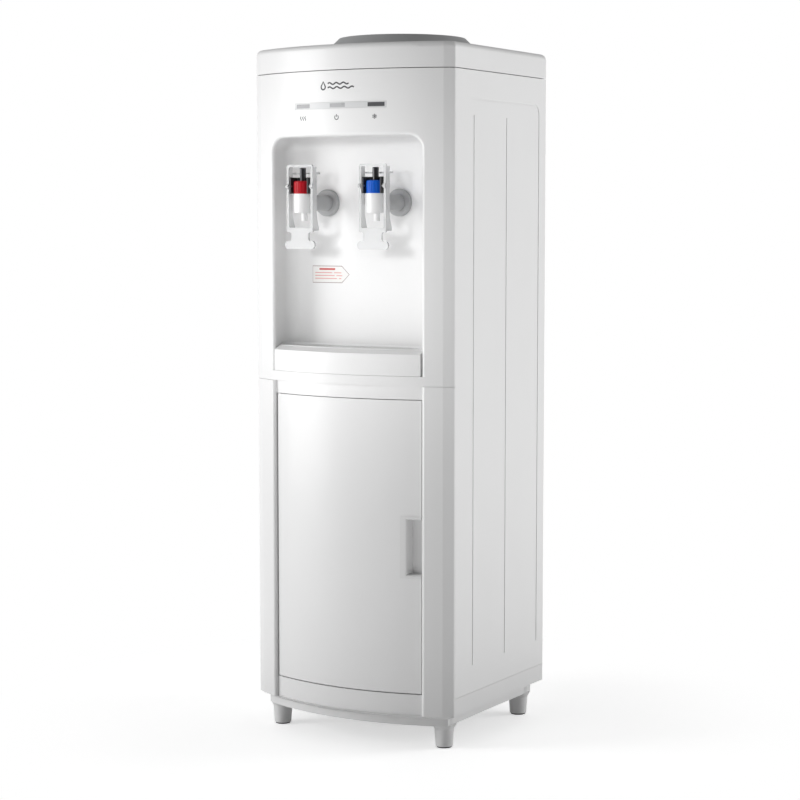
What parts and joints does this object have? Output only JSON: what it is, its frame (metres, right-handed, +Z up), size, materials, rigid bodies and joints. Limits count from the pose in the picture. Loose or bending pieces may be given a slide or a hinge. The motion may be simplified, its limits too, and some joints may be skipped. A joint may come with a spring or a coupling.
{
  "type": "water dispenser",
  "caption": "Floor-standing bottled-water dispenser with a bowed front, hot and cold paddle taps over a drip tray, and a storage cupboard below.",
  "frame": {"origin": "centre of the footprint on the floor, under the cabinet: bottom centre of the bounding box", "axes": "+X to the right seen from the front, +Y from the bowed front to the back panel, +Z up"},
  "size_m": [0.318, 0.33, 0.973],
  "materials": {
    "white_plastic": "smooth, lightly glossy white ABS",
    "grey_plastic": "smooth satin light grey ABS",
    "light_grey_plastic": "satin pale grey ABS",
    "white_painted_steel": "white powder coat, slightly glossy",
    "red_plastic": "gloss red ring",
    "blue_plastic": "gloss blue ring",
    "black_plastic": "satin black",
    "clear_white_plastic": "milky translucent lever plastic",
    "smoked_plastic": "smoked clear lens",
    "rubber": "moulded rubber",
    "silicone": "food grade silicone",
    "stainless": "drawn stainless steel",
    "dark_chrome": "plated steel",
    "zinc_steel": "zinc plated steel",
    "aluminium": "extruded, unpolished",
    "foam": "closed cell foam",
    "circuit_board": "green solder mask",
    "ceramic": "ceramic faces"
  },
  "bodies": {
    "cabinet": {"base": "light_grey_plastic", "bottle_collar": "grey_plastic", "cabinet_liner": "white_plastic", "cable_gland": "black_plastic", "cold_block": "aluminium", "cold_tank": "stainless", "cold_tap_body": "white_plastic", "cold_tap_collar": "blue_plastic", "cold_tap_shank": "grey_plastic", "cooling_module": "ceramic", "door_hinge_pins": "zinc_steel", "fan_frame": "black_plastic", "foot_pads": "rubber", "heat_sink": "aluminium", "heater_band": "zinc_steel", "hot_tank": "stainless", "hot_tank_jacket": "foam", "hot_tank_stand": "zinc_steel", "hot_tap_body": "white_plastic", "hot_tap_collar": "red_plastic", "hot_tap_shank": "grey_plastic", "indicator_board": "circuit_board", "indicator_lenses": "smoked_plastic", "indicator_window": "smoked_plastic", "left_side_panel": "white_painted_steel", "lever_pins": "zinc_steel", "lower_front_frame": "white_plastic", "magnet_catch": "black_plastic", "mid_deck": "zinc_steel", "power_board": "circuit_board", "rear_panel": "white_painted_steel", "rear_panel_screws": "zinc_steel", "right_side_panel": "white_painted_steel", "switch_plate": "black_plastic", "tank_foam": "foam", "tap_back_nuts": "white_plastic", "tap_nozzles": "white_plastic", "tap_yokes": "black_plastic", "top_cover": "white_plastic", "upper_fascia": "white_plastic", "water_pipes": "silicone"},
    "door": {"cabinet_door": "white_plastic", "door_liner": "white_plastic", "door_handle": "light_grey_plastic", "strike_plate": "zinc_steel"},
    "tray": {"drip_tray": "white_plastic"},
    "grille": {"drip_grille": "white_plastic"},
    "bottle_seat": {"bottle_seat": "white_plastic"},
    "hot_lever": {"hot_tap_lever": "clear_white_plastic"},
    "cold_lever": {"cold_tap_lever": "clear_white_plastic"},
    "hot_valve": {"hot_tap_stem": "dark_chrome", "hot_tap_seal": "silicone", "hot_tap_spring": "stainless"},
    "cold_valve": {"cold_tap_stem": "dark_chrome", "cold_tap_seal": "silicone", "cold_tap_spring": "stainless"},
    "fan": {"fan_rotor": "black_plastic"},
    "heating_switch": {"heating_switch": "red_plastic"},
    "cooling_switch": {"cooling_switch": "blue_plastic"},
    "drain_cap": {"drain_cap": "blue_plastic"}
  },
  "joints": [
    {"name": "door_hinge", "type": "hinge", "parent": "cabinet", "child": "door", "pos_m": [-0.113, -0.1281, 0.278], "axis": [0, 0, -1], "range_deg": [0, 90]},
    {"name": "tray_slide", "type": "slide", "parent": "cabinet", "child": "tray", "axis": [0, -1, 0], "range_m": [0, 0.12]},
    {"name": "grille_lift", "type": "slide", "parent": "tray", "child": "grille", "axis": [0, 0, 1], "range_m": [0, 0.03]},
    {"name": "bottle_seat_lift", "type": "slide", "parent": "cabinet", "child": "bottle_seat", "axis": [0, 0, 1], "range_m": [0, 0.12]},
    {"name": "hot_lever_push", "type": "hinge", "parent": "cabinet", "child": "hot_lever", "pos_m": [-0.058, -0.1605, 0.765], "axis": [1, 0, 0], "range_deg": [0, 15], "stiffness_Nm_per_rad": 0.8},
    {"name": "hot_valve_lift", "type": "slide", "parent": "cabinet", "child": "hot_valve", "axis": [0, 0, 1], "range_m": [0, 0.0033], "deforming": ["hot_tap_spring"]},
    {"name": "cold_lever_push", "type": "hinge", "parent": "cabinet", "child": "cold_lever", "pos_m": [0.058, -0.1605, 0.765], "axis": [1, 0, 0], "range_deg": [0, 15], "stiffness_Nm_per_rad": 0.8},
    {"name": "cold_valve_lift", "type": "slide", "parent": "cabinet", "child": "cold_valve", "axis": [0, 0, 1], "range_m": [0, 0.0033], "deforming": ["cold_tap_spring"]},
    {"name": "fan_spin", "type": "hinge", "parent": "cabinet", "child": "fan", "pos_m": [0, 0.137, 0.77], "axis": [0, 1, 0], "continuous": true},
    {"name": "heating_switch_rock", "type": "hinge", "parent": "cabinet", "child": "heating_switch", "pos_m": [0.084, 0.148, 0.62], "axis": [1, 0, 0], "range_deg": [-14, 0]},
    {"name": "cooling_switch_rock", "type": "hinge", "parent": "cabinet", "child": "cooling_switch", "pos_m": [0.106, 0.148, 0.62], "axis": [1, 0, 0], "range_deg": [-14, 0]},
    {"name": "drain_cap_pull", "type": "slide", "parent": "cabinet", "child": "drain_cap", "axis": [0, 1, 0], "range_m": [0, 0.015]}
  ],
  "couplings": [
    {"joint": "hot_valve_lift", "follows": "hot_lever_push", "m_per_rad": 0.01222},
    {"joint": "cold_valve_lift", "follows": "cold_lever_push", "m_per_rad": 0.01222}
  ]
}
